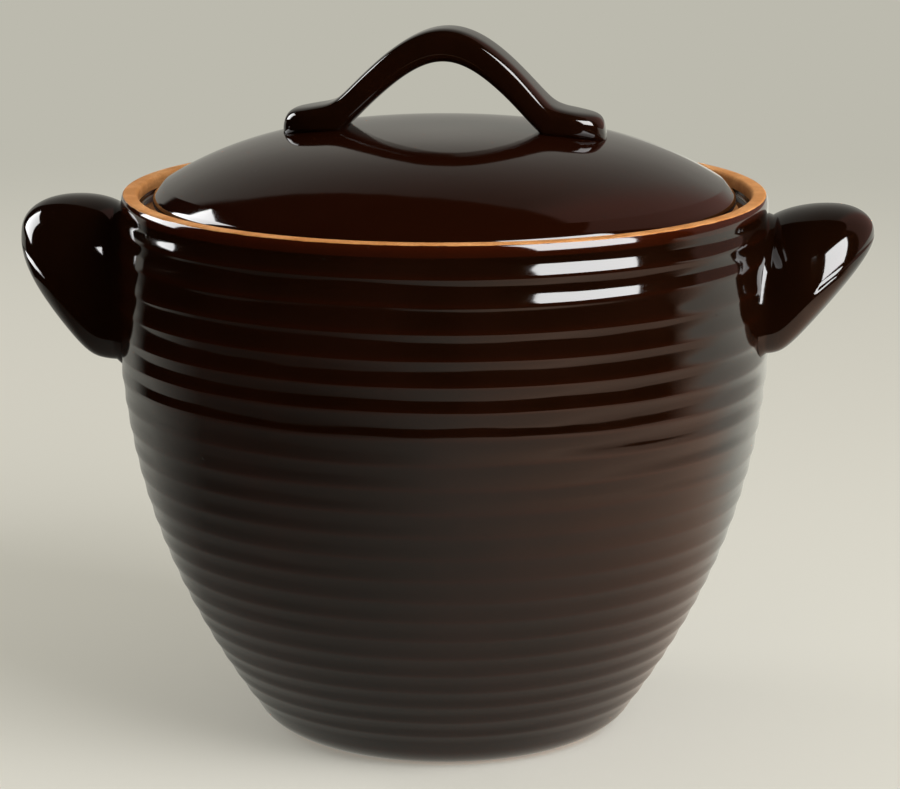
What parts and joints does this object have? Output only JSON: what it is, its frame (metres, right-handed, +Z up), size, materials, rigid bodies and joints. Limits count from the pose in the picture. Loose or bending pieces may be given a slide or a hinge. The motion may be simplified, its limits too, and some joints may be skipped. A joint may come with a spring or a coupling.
{
  "type": "stoneware bean pot",
  "caption": "Ribbed round stoneware bean pot with two solid side lugs and a loose domed lid with an arched strap handle.",
  "frame": {"origin": "centre of the foot, on the surface that the pot stands on", "axes": "+Z up, +X through the right lug, -Y towards the viewer; the pot's axis is the Z axis"},
  "size_m": [0.286, 0.2188, 0.2368],
  "materials": {
    "brown_glaze": "glossy"
  },
  "bodies": {
    "pot": {"pot_body": "brown_glaze", "lug_left": "brown_glaze", "lug_right": "brown_glaze"},
    "lid": {"lid_dome": "brown_glaze", "lid_handle": "brown_glaze"}
  },
  "joints": [
    {"name": "lid_lift", "type": "slide", "parent": "pot", "child": "lid", "axis": [0, 0, 1], "range_m": [0, 0.12]}
  ]
}
